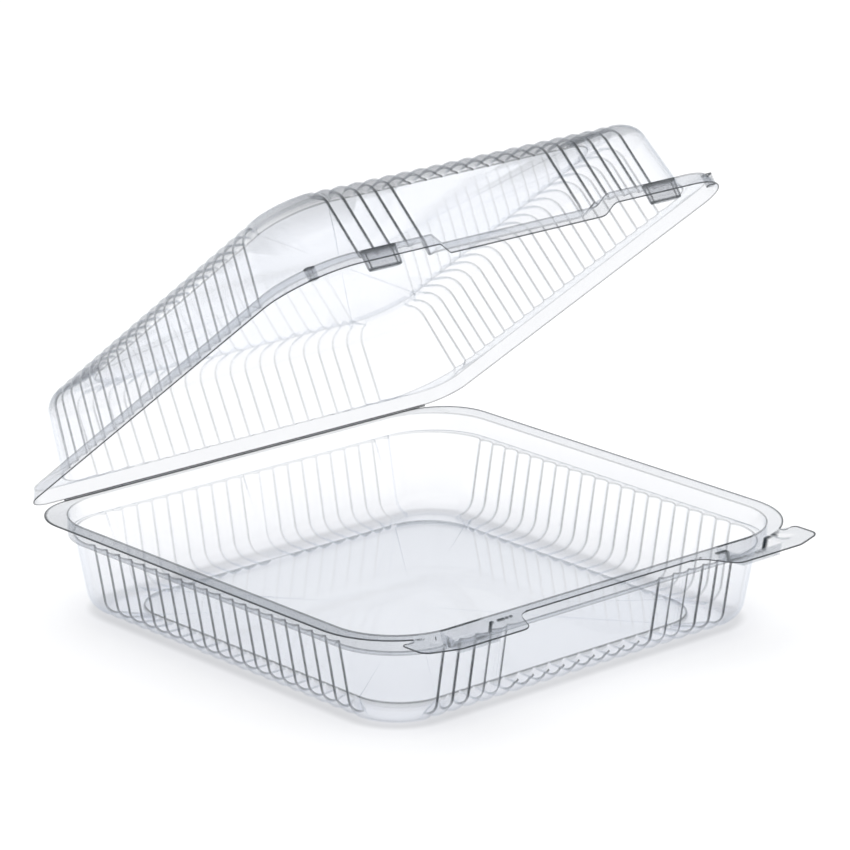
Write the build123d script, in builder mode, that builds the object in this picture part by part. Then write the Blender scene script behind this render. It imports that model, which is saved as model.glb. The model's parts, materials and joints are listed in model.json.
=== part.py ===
"""Clear hinged clamshell pack: one thermoformed sheet, a fluted tray and a fluted lid joined by a
living hinge. Two nodes, because the fold lets the lid move: base_tray and hinged_lid.

Frame: X along the hinge, the locking tabs at -Y, the hinge at +Y, +Z up. The origin is on the table,
under the middle of the pack as it stands with its lid half open. The functions work from the middle
of the tray, and main() moves both nodes together."""

from build123d import *
import math
import os

# Sheet and the dish shape that tray and lid share (mm)
sheet = 0.4
dish_depth = 31.2
dish_half_x = 98.0
dish_half_y = 99.5
dish_corner = 26.0
draft = 10.4
bottom_radius = 7.0

# Flutes
flute_height = 1.8
flute_span = 144.0
flute_count = 19
front_flat_from = 4
front_flat_count = 10
lid_side_span = 147.0
lid_side_count = 20
lid_side_shift = 5.0

# Raised panel in the middle of each dish, level with the cusps between flutes
panel_half_x = 79.3
panel_half_y = 80.5
panel_corner = 20.0

# Tray rim: band above the ledge, then the flange
rim_height = 39.1
band_half_x = 102.4
band_front = 104.2
band_back = 101.9
band_corner = 28.0
flange_half_x = 109.0
flange_front = 109.6
hinge_y = 103.9
flange_back_corner = 22.0
flange_front_corner = 34.0

# Locking tabs at the two front corners
tab_inner_x = 45.0
tab_outer_x = 98.5
tab_notch_x = 91.5
tab_notch_y = 106.5
tab_front = 123.8
tab_root = 8.0
tab_shoulder_run = 7.0
tab_corner_run = 14.0
tab_corner_rise = 5.0
tab_round = 4.0
tab_notch_round = 2.0
pocket_inner_x = 59.0
pocket_outer_x = 79.0
pocket_front = 117.4
pocket_depth = 4.5
pocket_corner = 1.5
dimple_x = 86.5
dimple_y = 111.5
dimple_radius = 2.6
dimple_depth = 1.2

# V gussets in the tray's back wall
gusset_places = (-68.5, 0.0, 68.5)
gusset_width = 9.0
gusset_tip_width = 0.8
gusset_reach = 2.6
gusset_foot = 14.0
gusset_root = 10.0
gusset_flute_count = 8

# Lid rim: skirt that hangs from a shoulder, dropped over the middle of the tray's front edge
lid_angle = 36.8
hinge_gap = 0.4
closing_gap = 0.3
skirt_height = 5.2
skirt_front = 214.4
skirt_flare = 2.5
skirt_front_corner = 28.0
skirt_back_corner = 14.0
drop = 4.8
drop_left_x = -43.0
drop_right_x = 30.0
drop_left_run = 1.2
drop_right_run = 13.0

# Snap lugs and corner ribs under the lid's shoulder
lug_inner_x = 60.8
lug_outer_x = 76.8
lug_back = 209.0
lug_front = 212.2
lug_length = 8.4
rib_x = 95.5
rib_width = 4.0
rib_back = 204.4
rib_front = 207.4
rib_length = 5.2

panel_rise = flute_height
flute_pitch = flute_span / flute_count
gusset_pitch = (gusset_places[2] - gusset_places[1] - gusset_width) / gusset_flute_count
slope = math.tan(math.radians(draft))
free_edge = rim_height - closing_gap
shoulder = free_edge - skirt_height
overrun = 3.0
flute_root = 1.0
smallest_flat = 1e-6


def flute_section(first, count, pitch, inset):
    """Closed outline across a bank of flutes, u along the wall and w outwards from the cusp level.
    With an inset it is the face of the sheet's other side, drawn on the same arc centres."""
    radius = (pitch**2 / 4 + flute_height**2) / (2 * flute_height)
    centre = flute_height - radius
    half = math.sqrt((radius - inset) ** 2 - (centre + inset) ** 2)
    left = first + pitch / 2 - half
    right = first + (count - 0.5) * pitch + half
    with BuildSketch() as section:
        with BuildLine():
            Polyline(
                (left, -inset), (left, -inset - flute_root),
                (right, -inset - flute_root), (right, -inset),
            )
            for number in range(count):
                middle = first + (number + 0.5) * pitch
                ThreePointArc(
                    (middle - half, -inset), (middle, flute_height - inset), (middle + half, -inset)
                )
                if number + 1 < count and half < pitch / 2 - smallest_flat:
                    Line((middle + half, -inset), (middle + pitch - half, -inset))
        make_face()
    return section.sketch


def flute_bank(reach, first, count, pitch, inset, full_height=True):
    """A bank of flutes on a wall that faces +Y: down the wall, round the bottom, to the panel."""
    wall = Vector(0, slope, 1).normalized()
    foot_y = reach - (dish_depth - panel_rise) * slope
    foot = Vector(0, foot_y, panel_rise)
    turn = math.radians(90 + draft)
    tangent = bottom_radius / math.tan(turn / 2)
    top = Vector(0, reach + overrun * slope, dish_depth + overrun)
    wall_end = foot + wall * tangent
    floor_start = foot + Vector(0, -tangent, 0)
    with BuildPart() as bank:
        with BuildLine() as route:
            if full_height:
                Line(top, wall_end)
            TangentArc(wall_end, floor_start, tangent=wall * -1)
            Line(floor_start, (0, panel_half_y - panel_corner - overrun, panel_rise))
        start = top if full_height else wall_end
        with BuildSketch(Plane(origin=start, x_dir=(1, 0, 0), z_dir=wall * -1)):
            add(flute_section(first, count, pitch, inset))
        sweep(path=route.line)
    return bank.part


def drafted_block(grow, floor, top, radius):
    """The dish as a plain drafted block, grown outwards from the cusp level."""
    at_top = grow + (top - dish_depth) * slope
    with BuildPart() as block:
        with BuildSketch(Plane.XY.offset(top)):
            RectangleRounded(
                2 * (dish_half_x + at_top), 2 * (dish_half_y + at_top), dish_corner + at_top
            )
        extrude(amount=-(top - floor), taper=draft)
        fillet(block.edges().group_by(Axis.Z)[0], radius)
    return block.part


def panel_block(grow, top):
    """Everything below the raised panel in the middle of the dish."""
    with BuildPart() as block:
        with BuildSketch(Plane.XY.offset(-overrun)):
            RectangleRounded(
                2 * (panel_half_x + grow), 2 * (panel_half_y + grow), panel_corner + grow
            )
        extrude(amount=overrun + top)
    return block.part


def dish(inset, banks, flat_front, side_ends, top):
    """The filled dish at the cusp level with its flutes and smooth corners; inset moves it inwards."""
    core = drafted_block(-inset, panel_rise + inset, top, bottom_radius - inset)
    envelope = drafted_block(flute_height - inset, inset, top, bottom_radius + flute_height - inset)
    corner_x = flute_span / 2 + dish_half_x / 2
    beyond = 3 * dish_half_x
    front_y = side_ends[0] - dish_half_y / 2
    back_y = side_ends[1] + dish_half_y / 2
    flat_start, flat_end = flat_front
    with BuildPart() as relief:
        with BuildSketch(Plane.XY.offset(-overrun)):
            corners = [(x, y) for x in (-corner_x, corner_x) for y in (front_y, back_y)]
            with Locations(*corners):
                Rectangle(dish_half_x, dish_half_y)
        extrude(amount=top + 2 * overrun)
        with BuildSketch(Plane.XY.offset(bottom_radius)):
            with Locations(((flat_start + flat_end) / 2, -dish_half_y)):
                Rectangle(flat_end - flat_start, dish_corner)
        extrude(amount=top + overrun)
        add(envelope, mode=Mode.INTERSECT)
        add(banks)
        add(panel_block(inset, panel_rise + inset), mode=Mode.SUBTRACT)
    with BuildPart() as body:
        add(core)
        add(relief.part)
        with BuildSketch(Plane.XY.offset(top)):
            Rectangle(beyond, beyond)
        extrude(amount=4 * overrun, mode=Mode.SUBTRACT)
    return body.part


def front_banks(inset):
    """The front wall: flutes, a flat panel that keeps flutes only round its bottom edge, flutes."""
    start = -flute_span / 2
    flat = start + front_flat_from * flute_pitch
    after = flat + front_flat_count * flute_pitch
    rest = flute_count - front_flat_from - front_flat_count
    left = flute_bank(dish_half_y, -after - rest * flute_pitch, rest, flute_pitch, inset)
    middle = flute_bank(dish_half_y, -after, front_flat_count, flute_pitch, inset, False)
    right = flute_bank(dish_half_y, -flat, front_flat_from, flute_pitch, inset)
    turned = [bank.rotate(Axis.Z, 180) for bank in (left, middle, right)]
    return turned, (flat, after)


def side_banks(span, count, shift, inset):
    """The two side walls, mirror images of each other."""
    pitch = span / count
    bank = flute_bank(dish_half_x, shift - span / 2, count, pitch, inset).rotate(Axis.Z, 90)
    return [bank, bank.mirror(Plane.YZ)]


def back_banks(inset):
    """The tray's back wall: two banks of flutes between the three gussets."""
    start = gusset_places[1] + gusset_width / 2
    bank = flute_bank(dish_half_y, start, gusset_flute_count, gusset_pitch, inset)
    return [bank, bank.mirror(Plane.YZ)]


def flange_outline():
    """The tray's flange: rounded corners, a strip along the front, and the two locking tabs."""
    with BuildSketch() as outline:
        with Locations((0, (hinge_y - closing_gap - flange_front) / 2)):
            Rectangle(2 * flange_half_x, hinge_y - closing_gap + flange_front)
        corners = outline.vertices().group_by(Axis.Y)
        fillet(corners[-1], flange_back_corner)
        fillet(outline.vertices().group_by(Axis.Y)[0], flange_front_corner)
        with BuildSketch(mode=Mode.PRIVATE) as tab:
            with BuildLine():
                Polyline(
                    (tab_notch_x, -band_front + tab_root),
                    (tab_notch_x, -tab_notch_y),
                    (tab_outer_x, -tab_notch_y),
                    (tab_outer_x, -tab_front + tab_corner_rise),
                    (tab_outer_x - tab_corner_run, -tab_front),
                    (tab_inner_x + tab_shoulder_run, -tab_front),
                    (tab_inner_x, -flange_front),
                    (tab_inner_x, -band_front + tab_root),
                    close=True,
                )
            make_face()
            tips = tab.vertices().sort_by(Axis.Y)
            fillet(tips[0:2], tab_round)
            outer_corner = (tab_outer_x, -tab_front + tab_corner_rise)
            fillet(tab.vertices().sort_by_distance(outer_corner)[0], tab_round)
            notch = tab.vertices().sort_by_distance((tab_outer_x, -tab_notch_y))[0]
            fillet(notch, tab_notch_round)
            notch = tab.vertices().sort_by_distance((tab_notch_x, -tab_notch_y))[0]
            fillet(notch, tab_notch_round)
        add(tab.sketch)
        mirror(tab.sketch, about=Plane.YZ)
        for side in (-1, 1):
            root = outline.vertices().sort_by_distance((side * tab_inner_x, -flange_front))[0]
            fillet(root, tab_round)
    return outline.sketch


def gusset(place, inset):
    """One V gusset: a wedge that leans out of the back wall, widest at the top."""
    depth_at_foot = dish_half_y - (dish_depth - gusset_foot) * slope
    with BuildPart() as wedge:
        with BuildSketch(Plane.XY.offset(rim_height)):
            with Locations((place, dish_half_y - gusset_root / 2)):
                Rectangle(gusset_width - 2 * inset, gusset_root + 2 * (gusset_reach - inset))
        with BuildSketch(Plane.XY.offset(gusset_foot)):
            with Locations((place, depth_at_foot - gusset_root / 2)):
                Rectangle(gusset_tip_width, gusset_root - 2 * inset)
        loft()
    return wedge.part


def rounded_block(half_x, front, back, corner, low, high):
    """An upright block with a rounded outline."""
    with BuildPart() as block:
        with BuildSketch(Plane.XY.offset(low)):
            with Locations((0, (back - front) / 2)):
                RectangleRounded(2 * half_x, front + back, corner)
        extrude(amount=high - low)
    return block.part


def pocket(grow):
    """The lock pocket in the right-hand tab, as the block that its sheet wraps."""
    with BuildPart() as block:
        low = rim_height - pocket_depth - grow
        with BuildSketch(Plane.XY.offset(low)):
            middle = (pocket_inner_x + pocket_outer_x) / 2
            back = band_front + sheet / 4 - grow
            with Locations((middle, -(pocket_front + grow + back) / 2)):
                RectangleRounded(
                    pocket_outer_x - pocket_inner_x + 2 * grow, pocket_front + grow - back,
                    pocket_corner,
                )
        extrude(amount=rim_height - low + (0 if grow else overrun))
        with BuildSketch(Plane.XY.offset(rim_height - dimple_depth - grow)):
            with Locations((dimple_x, -dimple_y)):
                Circle(dimple_radius + grow)
        extrude(amount=dimple_depth + grow + (0 if grow else overrun))
    return block.part


def make_tray():
    outer_front, flat_front = front_banks(0)
    inner_front, _ = front_banks(sheet)
    flute_ends = (-flute_span / 2, flute_span / 2)
    outer = outer_front + side_banks(flute_span, flute_count, 0, 0) + back_banks(0)
    inner = inner_front + side_banks(flute_span, flute_count, 0, sheet) + back_banks(sheet)
    with BuildPart() as tray:
        add(dish(0, outer, flat_front, flute_ends, dish_depth))
        add(rounded_block(band_half_x, band_front, band_back, band_corner, dish_depth, rim_height))
        with BuildSketch(Plane.XY.offset(rim_height - sheet)):
            add(flange_outline())
        extrude(amount=sheet)
        add(pocket(sheet))
        add(pocket(sheet).mirror(Plane.YZ))
        for place in gusset_places:
            add(gusset(place, 0))
        add(dish(sheet, inner, flat_front, flute_ends, dish_depth + sheet), mode=Mode.SUBTRACT)
        band_hollow = rounded_block(
            band_half_x - sheet, band_front - sheet, band_back - sheet, band_corner - sheet,
            dish_depth + sheet, rim_height + overrun,
        )
        add(band_hollow, mode=Mode.SUBTRACT)
        for place in gusset_places:
            add(gusset(place, sheet), mode=Mode.SUBTRACT)
        add(pocket(0), mode=Mode.SUBTRACT)
        add(pocket(0).mirror(Plane.YZ), mode=Mode.SUBTRACT)
    return tray.part


def skirt_block(inset, low, high):
    """The lid's skirt as a block that flares towards its free edge, drawn with the lid lying open."""
    flare = skirt_flare / skirt_height
    spread = (high - free_edge) * flare - inset
    front_edge = hinge_y + skirt_front + spread
    back_edge = hinge_y + hinge_gap - spread
    with BuildPart() as block:
        with BuildSketch(Plane.XY.offset(high)) as outline:
            with Locations((0, (front_edge + back_edge) / 2)):
                Rectangle(2 * (flange_half_x + spread), front_edge - back_edge)
            fillet(outline.vertices().group_by(Axis.Y)[-1], skirt_front_corner + spread)
            fillet(outline.vertices().group_by(Axis.Y)[0], skirt_back_corner + spread)
        extrude(amount=-(high - low), taper=math.degrees(math.atan(flare)))
    return block.part


def drop_region(level, grow):
    """Everything under the stepped line along the lid's front, from the front wall outwards."""
    far = 2 * flange_half_x
    wall = 2 * hinge_y + dish_half_y + flute_height + sheet / 2 - grow
    with BuildPart() as region:
        with BuildSketch(Plane.XZ.offset(-wall)):
            with BuildLine():
                left = (drop_left_x - drop_left_run - grow, level)
                left_low = (drop_left_x - grow, level + drop)
                right_low = (drop_right_x + grow, level + drop)
                right = (drop_right_x + drop_right_run + grow, level)
                Polyline(left, (-far, level), (-far, 0), (far, 0), (far, level), right)
                Spline(left, left_low, tangents=((1, 0), (1, 0)))
                Line(left_low, right_low)
                Spline(right_low, right, tangents=((1, 0), (1, 0)))
            make_face()
        extrude(amount=-(skirt_front - dish_half_y))
    return region.part


def lug(inner_x, outer_x, back, front, length, grow):
    """A hollow lug that hangs from the shoulder on the right, as the block that its sheet wraps."""
    with BuildPart() as block:
        with BuildSketch(Plane.XY.offset(shoulder - (0 if grow else overrun))):
            with Locations(((inner_x + outer_x) / 2, hinge_y + (back + front) / 2)):
                Rectangle(
                    outer_x - inner_x - 2 * (sheet - grow), front - back - 2 * (sheet - grow)
                )
        extrude(amount=length + (0 if grow else overrun - sheet))
    return block.part


def lugs(grow):
    """The two snap lugs and the two corner ribs."""
    snap = lug(lug_inner_x, lug_outer_x, lug_back, lug_front, lug_length, grow)
    rib = lug(rib_x, rib_x + rib_width, rib_back, rib_front, rib_length, grow)
    return [snap, rib, snap.mirror(Plane.YZ), rib.mirror(Plane.YZ)]


def lid_dish(inset, top):
    """The lid's dish, turned so that its front is away from the hinge."""
    front, flat_front = front_banks(inset)
    sides = side_banks(lid_side_span, lid_side_count, lid_side_shift, inset)
    back = flute_bank(dish_half_y, -flute_span / 2, flute_count, flute_pitch, inset)
    ends = (lid_side_shift - lid_side_span / 2, lid_side_shift + lid_side_span / 2)
    body = dish(inset, front + sides + [back], flat_front, ends, top)
    return body.mirror(Plane.XZ).moved(Location((0, 2 * hinge_y, shoulder - dish_depth)))


def make_lid():
    with BuildPart() as dropped:
        add(skirt_block(0, shoulder, free_edge + drop))
        add(drop_region(free_edge, 0), mode=Mode.INTERSECT)
    with BuildPart() as hollow:
        add(skirt_block(sheet, shoulder + sheet, free_edge + drop + overrun))
        add(drop_region(shoulder, sheet), mode=Mode.SUBTRACT)
    with BuildPart() as lid:
        add(skirt_block(0, shoulder, free_edge))
        add(dropped.part)
        add(drop_region(shoulder, 0), mode=Mode.SUBTRACT)
        add(lid_dish(0, dish_depth))
        add(hollow.part, mode=Mode.SUBTRACT)
        add(lid_dish(sheet, dish_depth + sheet), mode=Mode.SUBTRACT)
        add(lugs(sheet))
        add(lugs(0), mode=Mode.SUBTRACT)
    hinge = Axis((0, hinge_y, rim_height), (1, 0, 0))
    return lid.part.rotate(hinge, 180 - lid_angle)


def main():
    """Builds both nodes, stands them over the middle of the whole pack and writes them."""
    tray = make_tray()
    lid = make_lid()
    middle = Compound([tray, lid]).bounding_box().center().Y
    os.makedirs("parts", exist_ok=True)
    for label, piece in (("base_tray", tray), ("hinged_lid", lid)):
        placed = piece.moved(Location((0, -middle, 0)))
        placed.label = label
        export_step(placed, f"parts/{label}.step")
    print("hinge axis at y", hinge_y - middle, "z", rim_height)


if __name__ == "__main__":
    main()
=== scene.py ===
"""A clear hinged food pack, lid half open: one thermoformed sheet, fluted tray and fluted lid,
joined along a living hinge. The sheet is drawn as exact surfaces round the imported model's frame."""

import json
import math

import bmesh
import bpy
import numpy as np
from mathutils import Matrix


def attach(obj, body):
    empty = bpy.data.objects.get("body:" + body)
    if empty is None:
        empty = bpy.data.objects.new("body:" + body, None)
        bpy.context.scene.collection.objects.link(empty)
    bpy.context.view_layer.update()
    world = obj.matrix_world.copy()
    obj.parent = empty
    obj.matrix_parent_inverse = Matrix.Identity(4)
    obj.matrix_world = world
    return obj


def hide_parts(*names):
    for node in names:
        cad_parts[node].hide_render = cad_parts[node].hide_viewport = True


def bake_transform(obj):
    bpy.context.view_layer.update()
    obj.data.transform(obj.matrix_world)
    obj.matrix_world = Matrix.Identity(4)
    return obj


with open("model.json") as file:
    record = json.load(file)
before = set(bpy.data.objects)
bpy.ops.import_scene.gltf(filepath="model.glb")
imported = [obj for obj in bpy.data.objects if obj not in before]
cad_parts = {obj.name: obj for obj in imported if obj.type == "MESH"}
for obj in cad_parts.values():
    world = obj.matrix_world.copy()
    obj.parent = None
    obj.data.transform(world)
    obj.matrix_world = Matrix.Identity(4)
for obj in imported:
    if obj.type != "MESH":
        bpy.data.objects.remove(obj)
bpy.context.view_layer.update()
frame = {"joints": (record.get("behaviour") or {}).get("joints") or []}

# ------------------------------------------------------------------ the tray
# The lower half of the pack: a drafted dish with fluted walls, a ledge, an upright band and a flange
# with two locking tabs. It is drawn over a mould from clear sheet, so it has one thickness all over,
# and its corners are left smooth.

mm = 0.001
hinge_y, hinge_z = (value / mm for value in frame["joints"][0]["pos_m"][1:])
lid_angle = math.radians(-frame["joints"][0]["range_deg"][0])
hinge_from_middle = 103.9
tray_middle_y = hinge_y - hinge_from_middle
sheet_thickness = 0.4

dish_half_x, dish_half_y, dish_corner, dish_depth = 98.0, 99.5, 26.0, 31.2
core_x, core_y = dish_half_x - dish_corner, dish_half_y - dish_corner
draft = math.radians(10.4)
bottom_radius = 7.0
flute_height = 1.8
panel_half_x, panel_half_y, panel_corner = 79.3, 80.5, 20.0
corner_length = dish_corner * math.pi / 2
front_start, right_start = 0.0, 2 * core_x + corner_length
back_start = right_start + 2 * core_y + corner_length
left_start = back_start + 2 * core_x + corner_length
perimeter = left_start + 2 * core_y + corner_length
flute_marks = np.array([0, 0.06, 0.15, 0.29, 0.5, 0.71, 0.85, 0.94])
fold_reach = 0.45


def columns_of(banks, extra):
    """Distances round the dish's top edge, one per column of the surface: eight to a flute, a pair
    beside each bank's end, and an even step of 0.9 mm over the smooth corners between banks."""
    found = [np.asarray(extra, float)]
    ends = []
    for start, count, pitch in banks:
        found.append((start + (np.arange(count)[:, None] + flute_marks) * pitch).ravel())
        found.append([start - fold_reach, start + count * pitch, start + count * pitch + fold_reach])
        ends.append((start, start + count * pitch))
    ends.sort()
    for (_, low), (high, _) in zip(ends, ends[1:] + [(ends[0][0] + perimeter, 0)]):
        low, high = low + 2 * fold_reach, high - 2 * fold_reach
        found.append(np.linspace(low, high, max(2, int((high - low) / 0.9))))
    return np.unique(np.round(np.concatenate(found) % perimeter, 4))


def ring_of(along):
    """Each column's place on the dish's inner rectangle, and the direction in which it faces."""
    x, y, turn = (np.zeros(len(along)) for _ in range(3))
    stretches = (
        (front_start, -core_x, -core_y, 1, 0, 2 * core_x, -90),
        (right_start, core_x, -core_y, 0, 1, 2 * core_y, 0),
        (back_start, core_x, core_y, -1, 0, 2 * core_x, 90),
        (left_start, -core_x, core_y, 0, -1, 2 * core_y, 180),
    )
    for start, x0, y0, step_x, step_y, length, facing in stretches:
        here = (along >= start - 1e-6) & (along < start + length + corner_length - 1e-6)
        run = np.clip(along - start, 0, length)
        bend = np.clip(along - start - length, 0, corner_length) / corner_length
        x[here] = (x0 + step_x * run)[here]
        y[here] = (y0 + step_y * run)[here]
        turn[here] = np.radians(facing + 90 * bend)[here]
    return x, y, turn


def stretched(place, own, other):
    """A place along one straight side moved to a longer or shorter side: the middle stays where it
    is, and the difference is taken up by a sixth power near the ends."""
    return place + np.sign(place) * (other - own) * np.abs(place / own) ** 6


def outline(ring, half_x, front, back, front_corner, back_corner):
    """Rounded rectangle with a point for every column: an inner rectangle plus a radius."""
    x, y, turn = ring
    radius = np.where(y < 0, front_corner, back_corner)
    reach = np.where(y < 0, front, back)
    across = stretched(x, core_x, half_x - radius) + radius * np.cos(turn)
    forward = stretched(y, core_y, reach - radius) + radius * np.sin(turn)
    return across, forward


def arc_lift(across, pitch):
    """A flute's circle arc: its height above the cusps' line at a distance from the flute's middle."""
    radius = (pitch**2 / 4 + flute_height**2) / (2 * flute_height)
    return np.sqrt(radius**2 - across**2) + flute_height - radius


def smooth_step(value):
    """From 0 to 1 with level ends."""
    value = np.clip(value, 0, 1)
    return value * value * (3 - 2 * value)


def flute_lift(along, banks):
    """How far each column stands out from the line of the cusps: a circle arc across each flute, half
    an arc where the last flute runs out into a smooth corner, and the crest's height in between."""
    lift = np.full(len(along), flute_height)
    cusp = np.zeros(len(along))
    for start, count, pitch in banks:
        place = (along - start + perimeter / 2) % perimeter - perimeter / 2
        inside = np.clip(place, 0, count * pitch)
        outside = np.abs(place - inside)
        across = np.abs((inside + outside) % pitch - pitch / 2)
        across = np.where(outside > 0, np.clip(pitch / 2 - outside, 0, None), across)
        near = outside < pitch / 2
        lift = np.where(near, np.minimum(lift, arc_lift(across, pitch)), lift)
        number = np.round(place / pitch)
        on_cusp = (np.abs(place - number * pitch) < 1e-3) & (number >= 0) & (number <= count)
        cusp = np.maximum(cusp, on_cusp)
    return lift, cusp


def dish_rows(ring, lift, upper_lift, gusset):
    """The dish from its top edge down: drafted wall, rounded bottom edge, foot of the flutes, step to
    the raised panel, and the panel in rings to its middle. The wall has its own lift, which eases into
    the flutes' lift round the bottom edge."""
    rows = []
    x, y, turn = ring
    slope = math.tan(draft)
    centre_out = -(dish_depth - flute_height - bottom_radius) * slope - bottom_radius / math.cos(draft)

    # The last two values of each row are painted shade: a dark line along a folded row, and how dark the
    # cusp lines are on that row, stronger down the wall and fading round the bottom edge.
    def place(out, height, fold, lines):
        radius = dish_corner + out
        rows.append((x + radius * np.cos(turn), y + radius * np.sin(turn), height, fold, lines))

    wall_foot = flute_height + bottom_radius * (1 - math.sin(draft)) - flute_height * math.sin(draft)
    for step, height in enumerate(np.linspace(dish_depth, wall_foot + 0.6, 10)):
        wall = upper_lift + gusset(height)
        out = -(dish_depth - height) * slope + wall / math.cos(draft)
        place(out, np.full(len(x), height), 0.0, min(1.0, 0.75 + 0.06 * step))
    for angle in np.linspace(draft, math.pi / 2, 10):
        ease = smooth_step((angle - draft) / math.radians(18))
        low = upper_lift + (lift - upper_lift) * ease
        out = centre_out + (bottom_radius + low) * math.cos(angle)
        height = flute_height + bottom_radius - (bottom_radius + low) * math.sin(angle)
        place(out, height, 0.0, 1.0 - 0.57 * angle)
    foot_height = flute_height - lift
    level = np.full(len(x), flute_height)
    start = np.array(rows[-1][:2])
    rim = np.array(outline(ring, panel_half_x, panel_half_y, panel_half_y, panel_corner, panel_corner))
    rows.append((*(start + (rim - start) * 0.5), foot_height, 0.0, 0.05))
    rows.append((*rim, foot_height, 0.0, 0.0))
    rows.append((*(rim * 0.994), level, 0.5, 0.0))
    for share in (0.9, 0.6, 0.3, 0.0):
        rows.append((*(rim * share), level, 0.0, 0.0))
    return rows


def with_folds(rows):
    """Adds a row close on each side of every folded row, so that its painted dark line stays narrow."""
    points = [np.stack([row[0], row[1], row[2]], axis=1) for row in rows]
    result = []
    for number, row in enumerate(rows):
        here = points[number]
        for side in (-1, 1):
            if side == 1:
                result.append((here, row[3], row[4]))
            other = number + side
            if row[3] > 0 and 0 <= other < len(rows):
                away = points[other] - here
                length = np.linalg.norm(away, axis=1, keepdims=True)
                near = here + away * np.minimum(fold_reach / np.maximum(length, 1e-6), 0.4)
                result.append((near, 0.0, row[4]))
    return result


def strip_faces(rows, columns, first, closed):
    """Four-sided faces between neighbouring rows of a grid of points."""
    across = np.arange(columns if closed else columns - 1)
    down = np.arange(rows - 1)[:, None] * columns
    beside = (across + 1) % columns
    corners = [down + across, down + columns + across, down + columns + beside, down + beside]
    return first + np.stack(corners, axis=-1).reshape(-1, 4)


def make_sheet(name, grids, slots, downwards):
    """One mesh from several grids of points in mm, welded where they meet, with a painted-shade value for
    each point (dark fold and edge lines, grey tones), wall thickness inwards, and a slot of its own for
    the cut edge."""
    points, faces, creases = [], [], []
    total = 0
    for grid, crease, closed in grids:
        rows, columns = crease.shape
        points.append(grid.reshape(-1, 3))
        creases.append(crease.ravel())
        faces.append(strip_faces(rows, columns, total, closed))
        total += rows * columns
    mesh = bpy.data.meshes.new(name)
    mesh.from_pydata((np.concatenate(points) * mm).tolist(), [], np.concatenate(faces).tolist())
    # painted shade of every point, read by the sheet material
    attribute = mesh.attributes.new("painted_crease_shade", "FLOAT", "POINT")
    attribute.data.foreach_set("value", np.concatenate(creases).astype(np.float32))
    welded = bmesh.new()
    welded.from_mesh(mesh)
    bmesh.ops.remove_doubles(welded, verts=welded.verts, dist=1e-6)
    bmesh.ops.dissolve_degenerate(welded, edges=welded.edges, dist=1e-7)
    bmesh.ops.recalc_face_normals(welded, faces=welded.faces)
    welded.normal_update()
    facing = sum(face.normal.dot(downwards) * face.calc_area() for face in welded.faces)
    if facing < 0:
        bmesh.ops.reverse_faces(welded, faces=welded.faces)
    sharp = math.radians(33)
    for face in welded.faces:
        face.smooth = True
    for edge in welded.edges:
        if len(edge.link_faces) == 2:
            edge.smooth = edge.calc_face_angle(0) < sharp
    welded.to_mesh(mesh)
    welded.free()
    piece = bpy.data.objects.new(name, mesh)
    bpy.context.scene.collection.objects.link(piece)
    for material in slots:
        mesh.materials.append(material)
    wall = piece.modifiers.new("sheet thickness", "SOLIDIFY")
    wall.thickness = sheet_thickness * mm
    wall.offset = -1
    wall.material_offset_rim = 1
    return piece


def clear_plastic(name, tint, gloss, shade_grey):
    """Clear glossy sheet: light passes through with a faint cool tint, and the surface reflects more
    towards its edges. Folds, where the sheet is thin and bends the light away, go dark as a painted shade
    read from each point's value, which also paints grey tones and dark edge lines on some walls."""
    material = bpy.data.materials.new(name)
    material.use_nodes = True
    nodes, links = material.node_tree.nodes, material.node_tree.links
    nodes.clear()
    result = nodes.new("ShaderNodeOutputMaterial")
    through = nodes.new("ShaderNodeBsdfTransparent")
    through.inputs["Color"].default_value = tint
    shine = nodes.new("ShaderNodeBsdfGlossy")
    shine.inputs["Color"].default_value = gloss
    shine.inputs["Roughness"].default_value = 0.07
    waves = nodes.new("ShaderNodeTexNoise")
    waves.inputs["Scale"].default_value = 55
    waves.inputs["Detail"].default_value = 2
    place = nodes.new("ShaderNodeTexCoord")
    bump = nodes.new("ShaderNodeBump")
    bump.inputs["Strength"].default_value = 0.15
    bump.inputs["Distance"].default_value = 0.0006
    facing = nodes.new("ShaderNodeLayerWeight")
    facing.inputs["Blend"].default_value = 0.5
    slant = nodes.new("ShaderNodeMath")
    slant.operation = "POWER"
    slant.inputs[1].default_value = 5.0
    edge = nodes.new("ShaderNodeMath")
    edge.operation = "MULTIPLY_ADD"
    edge.inputs[1].default_value = 0.9
    edge.inputs[2].default_value = 0.035
    clear = nodes.new("ShaderNodeMixShader")
    line = nodes.new("ShaderNodeAttribute")
    line.attribute_name = "painted_crease_shade"
    narrow = nodes.new("ShaderNodeMath")
    narrow.operation = "POWER"
    narrow.inputs[1].default_value = 0.8
    # painted shade: a near-black grey, mixed in by each point's value, for dark fold, cusp and edge lines
    # and grey tones
    dark = nodes.new("ShaderNodeBsdfPrincipled")
    dark.inputs["Base Color"].default_value = shade_grey
    dark.inputs["Roughness"].default_value = 0.5
    dark.inputs["Specular IOR Level"].default_value = 0.15
    whole = nodes.new("ShaderNodeMixShader")
    links.new(place.outputs["Object"], waves.inputs["Vector"])
    links.new(waves.outputs["Fac"], bump.inputs["Height"])
    links.new(bump.outputs["Normal"], shine.inputs["Normal"])
    links.new(facing.outputs["Facing"], slant.inputs[0])
    links.new(slant.outputs[0], edge.inputs[0])
    links.new(edge.outputs[0], clear.inputs[0])
    links.new(through.outputs[0], clear.inputs[1])
    links.new(shine.outputs[0], clear.inputs[2])
    links.new(line.outputs["Fac"], narrow.inputs[0])
    links.new(narrow.outputs[0], whole.inputs[0])
    links.new(clear.outputs[0], whole.inputs[1])
    links.new(dark.outputs[0], whole.inputs[2])
    links.new(whole.outputs[0], result.inputs["Surface"])
    return material


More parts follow.
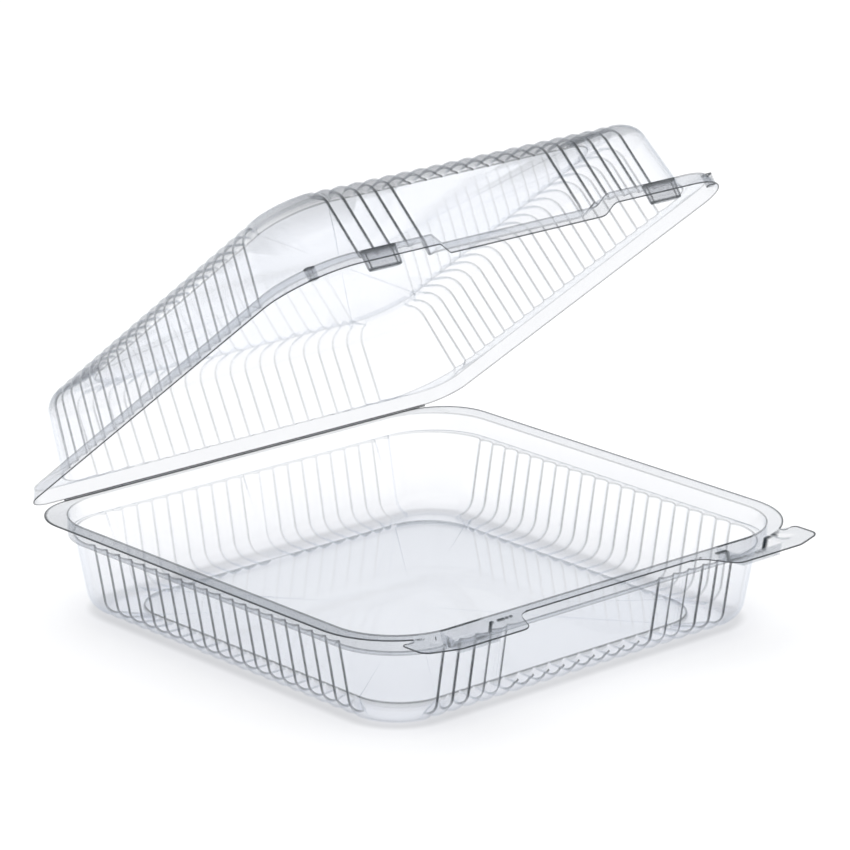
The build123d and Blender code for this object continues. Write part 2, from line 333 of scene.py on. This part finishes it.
def cut_plastic(name, colour, clearness):
    """The knife-cut edge of the sheet, seen end on: light is trapped in it, so it looks dark."""
    material = bpy.data.materials.new(name)
    material.use_nodes = True
    nodes, links = material.node_tree.nodes, material.node_tree.links
    nodes.clear()
    result = nodes.new("ShaderNodeOutputMaterial")
    through = nodes.new("ShaderNodeBsdfTransparent")
    solid = nodes.new("ShaderNodeBsdfPrincipled")
    solid.inputs["Base Color"].default_value = colour
    solid.inputs["Roughness"].default_value = 0.3
    mixed = nodes.new("ShaderNodeMixShader")
    mixed.inputs[0].default_value = 1 - clearness
    links.new(through.outputs[0], mixed.inputs[1])
    links.new(solid.outputs[0], mixed.inputs[2])
    links.new(mixed.outputs[0], result.inputs["Surface"])
    return material


# The last colour is the painted shade of folds, cusps, cut edges and shaded walls.
sheet_clear = clear_plastic(
    "clear_sheet", (0.974, 0.977, 0.984, 1), (0.9, 0.92, 0.95, 1), (0.014, 0.024, 0.03, 1)
)
sheet_edge = cut_plastic("cut_sheet_edge", (0.012, 0.018, 0.022, 1), 0.08)

flute_span, flute_count = 144.0, 19
flute_pitch = flute_span / flute_count
flat_first, flat_number = 4, 10
gusset_centres = np.array([-68.5, 0.0, 68.5])
gusset_width, gusset_reach, gusset_foot, rim_height = 9.0, 2.6, 14.0, 39.1
gusset_flutes = 8
gusset_pitch = (gusset_centres[2] - gusset_width) / gusset_flutes
side_offset = core_y - flute_span / 2
tray_banks = [
    (front_start, flute_count, flute_pitch),
    (right_start + side_offset, flute_count, flute_pitch),
    (left_start + side_offset, flute_count, flute_pitch),
    (back_start + core_x - gusset_centres[2] + gusset_width / 2, gusset_flutes, gusset_pitch),
    (back_start + core_x + gusset_width / 2, gusset_flutes, gusset_pitch),
]
gusset_grid = np.concatenate(
    [back_start + core_x - centre + np.linspace(-4.2, 4.2, 22) for centre in gusset_centres]
)
tab_side = np.concatenate([np.linspace(41.5, 53, 30), core_x + np.linspace(6, 14.5, 32)])
tab_columns = np.concatenate([core_x + tab_side, core_x - tab_side]) % perimeter
tray_along = columns_of(tray_banks, np.concatenate([gusset_grid, tab_columns]))
tray_ring = ring_of(tray_along)
tray_lift, tray_cusps = flute_lift(tray_along, tray_banks)


def beside_gussets(along):
    """How far each column of the back wall is from the nearest gusset's middle."""
    x = back_start + core_x - along
    return np.min(np.abs(x[:, None] - gusset_centres), axis=1)


gusset_distance = np.where(
    np.abs(tray_along - back_start - core_x) < 75, beside_gussets(tray_along), 1e3
)
in_gusset = gusset_distance < gusset_width / 2 - 1e-6
tray_lift = np.where(in_gusset, 0.0, tray_lift)


def gusset_lift(height):
    """A V that opens and leans out from its tip to the rim."""
    share = (height - gusset_foot) / (rim_height - gusset_foot)
    half_width = gusset_width / 2 * share
    inside = np.clip((half_width - gusset_distance) / 0.8, 0, 1)
    return inside * gusset_reach * max(share, 0)


def flat_lift(along, lift):
    """The smooth middle of the front wall: crest height, with half a flute's arc at either end.
    Elsewhere the flutes' own lift. Also says which columns are in the smooth middle."""
    start = front_start + flat_first * flute_pitch
    end = start + flat_number * flute_pitch
    from_end = np.minimum(along - start, end - along)
    across = np.clip(flute_pitch / 2 - from_end, 0, flute_pitch / 2)
    inside = from_end > 1e-3
    return np.where(inside, arc_lift(across, flute_pitch), lift), inside


def painted_shade_by_wall(ring, front, left, right, back):
    """One painted-shade value for each wall, blended round the corners. The lines and grey tones are
    painted darker in front and on the left: painted shade, not a difference in the sheet."""
    turn = ring[2]
    facing = np.stack([-np.sin(turn), -np.cos(turn), np.cos(turn), np.sin(turn)])
    share = np.clip(facing, 0, 1) ** 2
    return share[0] * front + share[1] * left + share[2] * right + share[3] * back


band_outline = (102.4, 104.2, 101.9, 28.0, 28.0)
flange_outline = (109.0, 109.6, hinge_from_middle - 0.3, 34.0, 22.0)
under_flange = rim_height - sheet_thickness
tab_from, tab_to, tab_front = 42.0, 91.5, 123.8
pocket_low, pocket_high, pocket_front, pocket_depth = 59.0, 79.0, 117.35, 4.5
dimple_x, dimple_y, dimple_radius, dimple_depth = 86.5, 111.5, 2.6, 1.2


def relief(x, y, column_x):
    """Depth of the lock pocket and the round dimple beside it."""
    pocket = (np.abs(column_x) > pocket_low) & (np.abs(column_x) < pocket_high) & (y < 0)
    pocket = pocket & (-y > band_outline[1] + 0.1) & (-y < pocket_front)
    distance = np.hypot(np.abs(x) - dimple_x, -y - dimple_y) / dimple_radius
    dimple = np.where(distance < 1, dimple_depth * np.sqrt(np.clip(1 - distance**2, 0, 1)), 0)
    return np.where(pocket, pocket_depth, dimple)


flange = np.array(outline(tray_ring, *flange_outline))
band = np.array(outline(tray_ring, *band_outline))
tray_rows = []
for share in (1.0, 0.86, 0.55, 0.08):
    x, y = band + (flange - band) * share
    tray_rows.append((x, y, under_flange - relief(x, y, flange[0]), 0.0, 0.0))
every = np.ones(len(tray_along))
# painted shade: dark lines along the band's foot and top, from the fold values of these rows
tray_rows.append((*band, under_flange * every, 0.75, 0.0))
tray_rows.append((*band, dish_depth * every, 0.3, 0.0))
tray_upper_lift, tray_flat = flat_lift(tray_along, tray_lift)
tray_dish = dish_rows(tray_ring, tray_lift, tray_upper_lift, gusset_lift)
# painted shade: a dark fold line and cusp lines along the dish's top edge
tray_dish[0] = (*tray_dish[0][:3], 0.5, 0.5)
tray_rows += tray_dish


def dish_grid(rows, cusps, strength, flat, wall_rows):
    """The rows as one grid of points, and each point's painted shade value for fold and cusp lines. On the
    wall's rows the smooth middle of the front has no painted cusp lines."""
    folded = with_folds(rows)
    grid = np.stack([row[0] for row in folded])
    fold = np.stack([np.full(grid.shape[1], row[1]) for row in folded]) * strength
    lines = np.stack([np.full(grid.shape[1], row[2]) for row in folded]) * cusps * strength
    lines = np.where(wall_rows(grid)[:, None] & flat, 0, lines)
    return grid, np.maximum(fold, lines)


def tray_wall_rows(grid):
    """The rows above the one where the smooth front wall ends and its flutes begin."""
    below = grid[:, :, 2].max(axis=1) < flute_height + bottom_radius - 1.0
    return np.cumsum(below) == 0


# Painted shade on the tray, strongest on the front and left walls: the cusp lines, grey on the flange and
# band, a dark line along the flange's cut outer edge, and a grey line at the panel's foot.
tray_strength = painted_shade_by_wall(tray_ring, 1.0, 1.0, 0.3, 0.12)
tray_grid, tray_crease = dish_grid(
    tray_rows, tray_cusps, tray_strength, tray_flat, tray_wall_rows
)
flange_painted_shade = painted_shade_by_wall(tray_ring, 0.02, 0.07, 0.01, 0.01)
band_painted_shade = painted_shade_by_wall(tray_ring, 0.02, 0.06, 0.01, 0.0)
edge_painted_shade = painted_shade_by_wall(tray_ring, 1.0, 1.0, 0.35, 0.2)
band_top, band_foot = 6, 9
tray_crease[:band_top] = np.maximum(tray_crease[:band_top], flange_painted_shade)
tray_crease[band_top:band_foot] = np.maximum(tray_crease[band_top:band_foot], band_painted_shade)
tray_crease[0] = edge_painted_shade
# painted shade where the flutes step down to the panel
panel_foot_painted_shade = painted_shade_by_wall(tray_ring, 0.1, 0.08, 0.16, 0.2)
panel_edge = slice(-7, -5)
tray_crease[panel_edge] = np.maximum(tray_crease[panel_edge], panel_foot_painted_shade)


def rounded_path(corners, radii, steps=7):
    """A polygon's line with its corners turned into arcs, as points at even steps of the angle."""
    points = [corners[0]]
    for before, here, after, radius in zip(corners, corners[1:], corners[2:], radii):
        one = (before - here) / np.linalg.norm(before - here)
        two = (after - here) / np.linalg.norm(after - here)
        half = math.acos(np.clip(one @ two, -1, 1)) / 2
        middle = here + (one + two) / np.linalg.norm(one + two) * radius / math.sin(half)
        start = here + one * radius / math.tan(half) - middle
        end = here + two * radius / math.tan(half) - middle
        for share in np.linspace(0, 1, steps):
            spread = start * (1 - share) + end * share
            points.append(middle + spread / np.linalg.norm(spread) * radius)
    points.append(corners[-1])
    return np.array(points)


def tab_grid(side):
    """A locking tab as a grid from the flange's edge to the tab's own outline."""
    picked = (side * flange[0] > tab_from) & (side * flange[0] < tab_to) & (flange[1] < -90)
    order = np.argsort(side * flange[0][picked])
    root_x, root_y = side * flange[0][picked][order], flange[1][picked][order]
    front = -flange_outline[1]
    last = np.array([tab_to, root_y[-1]])
    corners = [
        (tab_from, front), (45.0, front), (52.0, -tab_front), (84.5, -tab_front), (98.5, -118.8),
        (98.5, -106.5), (tab_to + 0.6, -106.5), last,
    ]
    corners = [np.array(corner, float) for corner in corners]
    path = rounded_path(corners, (7.0, 6.0, 9.0, 5.0, 2.0, 0.3))
    length = np.concatenate([[0], np.cumsum(np.linalg.norm(np.diff(path, axis=0), axis=1))])
    marks = [length[np.argmin(np.linalg.norm(path - corner, axis=1))] for corner in corners]
    matched = (tab_from, 45.5, 51.5, 81.5, 86.5, 90.2, 91.2, tab_to)
    where = np.interp(root_x, matched, marks)
    edge_x = np.interp(where, length, path[:, 0])
    edge_y = np.interp(where, length, path[:, 1])
    shares = np.array([0, 0.12, 0.3, 0.52, 0.56, 0.7, 0.85, 0.95, 1.0])[:, None]
    x = root_x + (edge_x - root_x) * shares
    y = root_y + (edge_y - root_y) * shares
    z = under_flange - relief(x, y, root_x)
    # painted shade: a faint grey over the tab, and a dark line along its cut edge
    painted_shade_tone = np.full(x.shape, 0.03)
    painted_shade_tone[-1] = 1.0
    return np.stack([side * x, y, z], axis=-1), painted_shade_tone, False


def tray_place(grid):
    """From the tray's own middle to the row frame."""
    return grid + np.array([0, tray_middle_y, 0])


tray_parts = [(tray_grid, tray_crease, True), tab_grid(1), tab_grid(-1)]
tray_sheet = make_sheet(
    "tray_sheet", [(tray_place(grid), crease, closed) for grid, crease, closed in tray_parts],
    (sheet_clear, sheet_edge), (0, 0, -1),
)
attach(tray_sheet, "base")
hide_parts("base_tray")

# ------------------------------------------------------------------ the lid
# The upper half: the same dish turned over, with more flutes on its sides, on a shoulder with a
# flared skirt. The skirt steps down over the middle of the tray's front edge.

lid_flutes, lid_span, lid_shift = 20, 147.0, 5.0
lid_pitch = lid_span / lid_flutes
lid_banks = [
    (front_start, flute_count, flute_pitch),
    (right_start + core_y + lid_shift - lid_span / 2, lid_flutes, lid_pitch),
    (left_start + core_y - lid_shift - lid_span / 2, lid_flutes, lid_pitch),
    (back_start, flute_count, flute_pitch),
]
skirt_edge, shoulder_height = 0.3, 5.5
skirt_edge_outline = (109.0, 110.5, 103.5, 28.0, 14.0)
skirt_top_outline = (106.5, 108.0, 101.0, 25.5, 11.5)
flare = 2.5 / 5.2
drop_depth, drop_left, drop_left_run, drop_right, drop_right_run = 4.8, -44.2, 1.2, 30.0, 13.0
step_columns = core_x + drop_left + np.linspace(-0.3, drop_left_run + 0.3, 9)
lid_along = columns_of(lid_banks, step_columns)
lid_ring = ring_of(lid_along)
lid_lift, lid_cusps = flute_lift(lid_along, lid_banks)
lid_upper_lift, lid_flat = flat_lift(lid_along, lid_lift)


def skirt_drop():
    """How far the shoulder and skirt step down at each column of the front."""
    x, y, turn = lid_ring
    at_front = np.abs(turn + math.pi / 2) < 1e-6
    inside = smooth_step((x - drop_left) / drop_left_run)
    inside = inside * (1 - smooth_step((x - drop_right) / drop_right_run))
    return np.where(at_front, inside * drop_depth, 0)


drop = skirt_drop()
lid_rows = []
skirt_low = np.array(outline(lid_ring, *skirt_edge_outline))
skirt_top = np.array(outline(lid_ring, *skirt_top_outline))
# The fold values on these rows paint dark lines along the skirt's top and the shoulder.
for share, fold in ((0, 0.0), (0.09, 0.0), (0.5, 0.0), (1, 0.75)):
    x, y = skirt_low + (skirt_top - skirt_low) * share
    height = skirt_edge + (shoulder_height - skirt_edge) * share
    lid_rows.append((x, y - drop * flare, height - drop, fold, 0.0))
lid_dish = dish_rows(lid_ring, lid_lift, lid_upper_lift, lambda height: 0.0)
x, y = lid_dish[0][:2]
lid_rows.append((x, y, shoulder_height - drop, 0.65, 0.5))
lid_rows.append((x, y, shoulder_height + 0.35 * np.ones(len(x)), 0.0, 0.6))
for row in lid_dish[1:]:
    lid_rows.append((row[0], row[1], shoulder_height + dish_depth - row[2], row[3], row[4]))


def lid_place(grid):
    """From the lid's own middle, with its depth upwards, to the row frame with the lid open."""
    x, from_hinge, height = grid[..., 0], hinge_from_middle - grid[..., 1], grid[..., 2]
    y = hinge_y - from_hinge * math.cos(lid_angle) + height * math.sin(lid_angle)
    z = hinge_z + from_hinge * math.sin(lid_angle) + height * math.cos(lid_angle)
    return np.stack([x, y, z], axis=-1)


# Painted shade on the lid, strongest in front and on the left: the cusp lines, grey on the rounded edge
# beyond the panel and on the skirt, and a dark line along the skirt's cut edge.
lid_strength = painted_shade_by_wall(lid_ring, 0.95, 0.6, 0.3, 0.16)
bend_height = shoulder_height + dish_depth - flute_height - bottom_radius


def lid_wall_rows(grid):
    """The rows below the rounded edge, where the smooth front wall ends."""
    return grid[:, :, 2].min(axis=1) < bend_height + 1


lid_grid, lid_crease = dish_grid(lid_rows, lid_cusps, lid_strength, lid_flat, lid_wall_rows)
curved = lid_grid[:, :, 2] > bend_height + 2
outside_panel = np.hypot(lid_grid[:, :, 0] / panel_half_x, lid_grid[:, :, 1] / panel_half_y) > 1.04
lid_curve_painted_shade = painted_shade_by_wall(lid_ring, 0.1, 0.05, 0.01, 0.01)
lid_crease = np.where(curved & outside_panel, np.maximum(lid_crease, lid_curve_painted_shade), lid_crease)
skirt_painted_shade = painted_shade_by_wall(lid_ring, 0.05, 0.04, 0.02, 0.02)
skirt_top_row = 4
lid_crease[:skirt_top_row] = np.maximum(lid_crease[:skirt_top_row], skirt_painted_shade)
lid_crease[0] = painted_shade_by_wall(lid_ring, 0.9, 0.95, 0.4, 0.35)
lid_sheet = make_sheet(
    "lid_sheet", [(lid_place(lid_grid), lid_crease, True)],
    (sheet_clear, sheet_edge), (0, math.sin(lid_angle), math.cos(lid_angle)),
)
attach(lid_sheet, "lid")
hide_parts("hinged_lid")

# ------------------------------------------------------------------ lid lugs and ribs
# Two blisters that snap into the tray's pockets, and two small corner ribs, drawn down from the
# shoulder in the same sheet.


def blister(x_low, x_high, v_low, v_high, length, corner):
    """A rounded box open at the top: a superellipse outline carried down and closed at its foot."""
    around = 32
    angle = np.linspace(0, 2 * math.pi, around, endpoint=False)
    shape = np.sign(np.cos(angle)) * np.abs(np.cos(angle)) ** corner
    other = np.sign(np.sin(angle)) * np.abs(np.sin(angle)) ** corner
    middle_x, middle_v = (x_low + x_high) / 2, (v_low + v_high) / 2
    rows, creases = [], []
    # The third value in each profile row paints a dark line along the blister's rim and the fold at its
    # foot.
    profile = ((1, 0, 0.7), (1, 0.15, 0), (0.97, 0.85, 0), (0.9, 0.97, 0.6), (0.6, 1, 0), (0.0, 1, 0))
    for scale, depth, crease in profile:
        x = middle_x + shape * scale * (x_high - x_low) / 2
        v = middle_v + other * scale * (v_high - v_low) / 2
        height = np.full(around, shoulder_height - length * depth)
        rows.append(np.stack([x, hinge_from_middle - v, height], axis=-1))
        # painted shade: dark lines down the outline's four corners, and a faint grey over the walls
        corners = np.where(np.arange(around) % 8 == 4, 0.5, 0.06)
        creases.append(np.maximum(crease, corners * (scale > 0.8)))
    return np.stack(rows), np.stack(creases)


lug_grids = []
for side in (-1, 1):
    for low, high, near, far, length in ((60.8, 76.8, 209.0, 211.6, 8.0), (95.5, 99.5, 204.4, 207.0, 5.0)):
        grid, crease = blister(*sorted((side * low, side * high)), near, far, length, 0.35)
        lug_grids.append((lid_place(grid), crease, True))
lid_lugs = make_sheet(
    "lid_lugs", lug_grids, (sheet_clear, sheet_edge), (0, -math.sin(lid_angle), -math.cos(lid_angle))
)
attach(lid_lugs, "lid")

# ------------------------------------------------------------------ hinge fold
# The living hinge: a scored strip of the sheet that bends along the fold, with two lens-shaped pads
# that stand proud of it.

fold_left, fold_right, fold_bulge = -88.0, 96.0, 0.5
pad_spans = ((-67.0, -32.0), (31.0, 67.0))
pad_height = 2.2
fold_x = np.linspace(fold_left, fold_right, 185)
bulge = np.full(len(fold_x), fold_bulge)
for low, high in pad_spans:
    share = np.clip((fold_x - low) / (high - low), 0, 1)
    bulge = bulge + pad_height * np.sqrt(np.clip(4 * share * (1 - share), 0, 1))
tray_lip = np.array([hinge_y - 0.3, rim_height - 0.2])
lid_lip = lid_place(np.array([0.0, hinge_from_middle - 0.4, 0.3 + 0.2]))[1:]
turn = np.linspace(0, math.pi, 9)[:, None]
middle, half = (tray_lip + lid_lip) / 2, (lid_lip - tray_lip) / 2
outwards = np.array([half[1], -half[0]]) / np.linalg.norm(half)
fold_y = middle[0] - half[0] * np.cos(turn) + outwards[0] * np.sin(turn) * bulge
fold_z = middle[1] - half[1] * np.cos(turn) + outwards[1] * np.sin(turn) * bulge
fold_grid = np.stack([fold_x + 0 * turn, fold_y, fold_z], axis=-1)
# painted shade: a dark line along the crest of the fold
fold_crease = np.where(np.isclose(turn, turn[4]), 0.35, 0) + 0 * fold_x
hinge_fold = make_sheet(
    "hinge_fold", [(fold_grid, fold_crease, False)], (sheet_clear, sheet_edge), (0, 1, 0.2)
)
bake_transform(hinge_fold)

# ------------------------------------------------------------------ studio
# A white floor under soft light, with a painted shade round the tray's foot. Reflections see a room
# from a bright ceiling to grey walls, and not the softboxes; every other ray sees plain white.

floor_painted_shadow = bpy.data.materials.new("studio_floor")
floor_painted_shadow.use_nodes = True
nodes, links = floor_painted_shadow.node_tree.nodes, floor_painted_shadow.node_tree.links
paint = nodes["Principled BSDF"]
paint.inputs["Roughness"].default_value = 0.9
place = nodes.new("ShaderNodeTexCoord")
centred = nodes.new("ShaderNodeVectorMath")
centred.operation = "SUBTRACT"
centred.inputs[1].default_value = (0, tray_middle_y * mm, 0)
folded_over = nodes.new("ShaderNodeVectorMath")
folded_over.operation = "ABSOLUTE"
beyond = nodes.new("ShaderNodeVectorMath")
beyond.operation = "SUBTRACT"
beyond.inputs[1].default_value = (core_x * mm, core_y * mm, 0)
outwards_only = nodes.new("ShaderNodeVectorMath")
outwards_only.operation = "MAXIMUM"
outwards_only.inputs[1].default_value = (0, 0, 0)
distance = nodes.new("ShaderNodeVectorMath")
distance.operation = "LENGTH"
# painted shadow: the floor's colour darkens in a soft ring round the tray's foot, lighter under the tray
# and further out
shade = nodes.new("ShaderNodeMapRange")
shade.interpolation_type = "LINEAR"
shade.inputs["From Min"].default_value = 0
shade.inputs["From Max"].default_value = (dish_corner + 10) * mm
painted_shade_tone = nodes.new("ShaderNodeValToRGB")
painted_shade_tone.color_ramp.interpolation = "EASE"
painted_shade_tone.color_ramp.elements[0].color = (0.99, 0.99, 0.99, 1)
painted_shade_tone.color_ramp.elements[1].color = (0.96, 0.96, 0.965, 1)
for place_on_ramp, shade_grey in ((0.3, 0.97), (0.46, 0.8), (0.56, 0.74), (0.7, 0.93)):
    stop = painted_shade_tone.color_ramp.elements.new(place_on_ramp)
    stop.color = (shade_grey, shade_grey, shade_grey * 1.01, 1)
links.new(place.outputs["Object"], centred.inputs[0])
links.new(centred.outputs[0], folded_over.inputs[0])
links.new(folded_over.outputs[0], beyond.inputs[0])
links.new(beyond.outputs[0], outwards_only.inputs[0])
links.new(outwards_only.outputs[0], distance.inputs[0])
links.new(distance.outputs["Value"], shade.inputs["Value"])
links.new(shade.outputs["Result"], painted_shade_tone.inputs["Fac"])
links.new(painted_shade_tone.outputs["Color"], paint.inputs["Base Color"])
floor_mesh = bpy.data.meshes.new("studio_floor")
reach = 12.0
floor_mesh.from_pydata(
    [(-reach, -reach, 0), (reach, -reach, 0), (reach, reach, 0), (-reach, reach, 0)], [], [(0, 1, 2, 3)]
)
floor_mesh.materials.append(floor_painted_shadow)
studio_floor = bpy.data.objects.new("studio_floor", floor_mesh)
bpy.context.scene.collection.objects.link(studio_floor)

world = bpy.data.worlds.new("studio")
world.use_nodes = True
bpy.context.scene.world = world
nodes, links = world.node_tree.nodes, world.node_tree.links
nodes.clear()
out = nodes.new("ShaderNodeOutputWorld")
ray = nodes.new("ShaderNodeLightPath")
plain = nodes.new("ShaderNodeBackground")
plain.inputs["Color"].default_value = (1, 1, 1, 1)
plain.inputs["Strength"].default_value = 1.0
room = nodes.new("ShaderNodeBackground")
direction = nodes.new("ShaderNodeTexCoord")
split = nodes.new("ShaderNodeSeparateXYZ")
ramp = nodes.new("ShaderNodeValToRGB")
ramp.color_ramp.elements[0].position = 0.0
ramp.color_ramp.elements[0].color = (0.5, 0.53, 0.56, 1)
ramp.color_ramp.elements[1].position = 0.8
ramp.color_ramp.elements[1].color = (1.1, 1.1, 1.1, 1)
middle_stop = ramp.color_ramp.elements.new(0.35)
middle_stop.color = (0.72, 0.74, 0.76, 1)
chosen = nodes.new("ShaderNodeMixShader")
links.new(direction.outputs["Generated"], split.inputs[0])
links.new(split.outputs["Z"], ramp.inputs["Fac"])
links.new(ramp.outputs["Color"], room.inputs["Color"])
links.new(ray.outputs["Is Glossy Ray"], chosen.inputs[0])
links.new(plain.outputs[0], chosen.inputs[1])
links.new(room.outputs[0], chosen.inputs[2])
links.new(chosen.outputs[0], out.inputs["Surface"])


def soft_light(name, place, aim, size, power):
    """A square softbox that faces a point."""
    light = bpy.data.lights.new(name, "AREA")
    light.size = size
    light.energy = power
    lamp = bpy.data.objects.new(name, light)
    lamp.location = place
    towards = np.array(aim) - np.array(place)
    pitch = math.acos(-towards[2] / np.linalg.norm(towards))
    lamp.rotation_euler = (pitch, 0, math.atan2(towards[1], towards[0]) - math.pi / 2)
    lamp.visible_glossy = False
    bpy.context.scene.collection.objects.link(lamp)


soft_light("ceiling_softbox", (0.2, 0.3, 1.6), (0, 0, 0), 1.6, 6)
soft_light("left_softbox", (-1.4, 0.5, 0.9), (0, 0, 0.08), 0.9, 1.5)

# ------------------------------------------------------------------ camera
# A long lens from the front left, a little above the open lid's edge.

camera_data = bpy.data.cameras.new("camera")
camera_data.sensor_width = 36
camera_data.lens = 201.54
camera_data.clip_end = 50
camera = bpy.data.objects.new("camera", camera_data)
camera.location = (-1.12468, tray_middle_y * mm - 1.30328, 0.61293)
camera.rotation_euler = [math.radians(angle) for angle in (72.645, 0.437, -41.081)]
bpy.context.scene.collection.objects.link(camera)
bpy.context.scene.camera = camera

scene = bpy.context.scene
scene.view_settings.view_transform = "Standard"
scene.cycles.transparent_max_bounces = 40
scene.cycles.max_bounces = 8
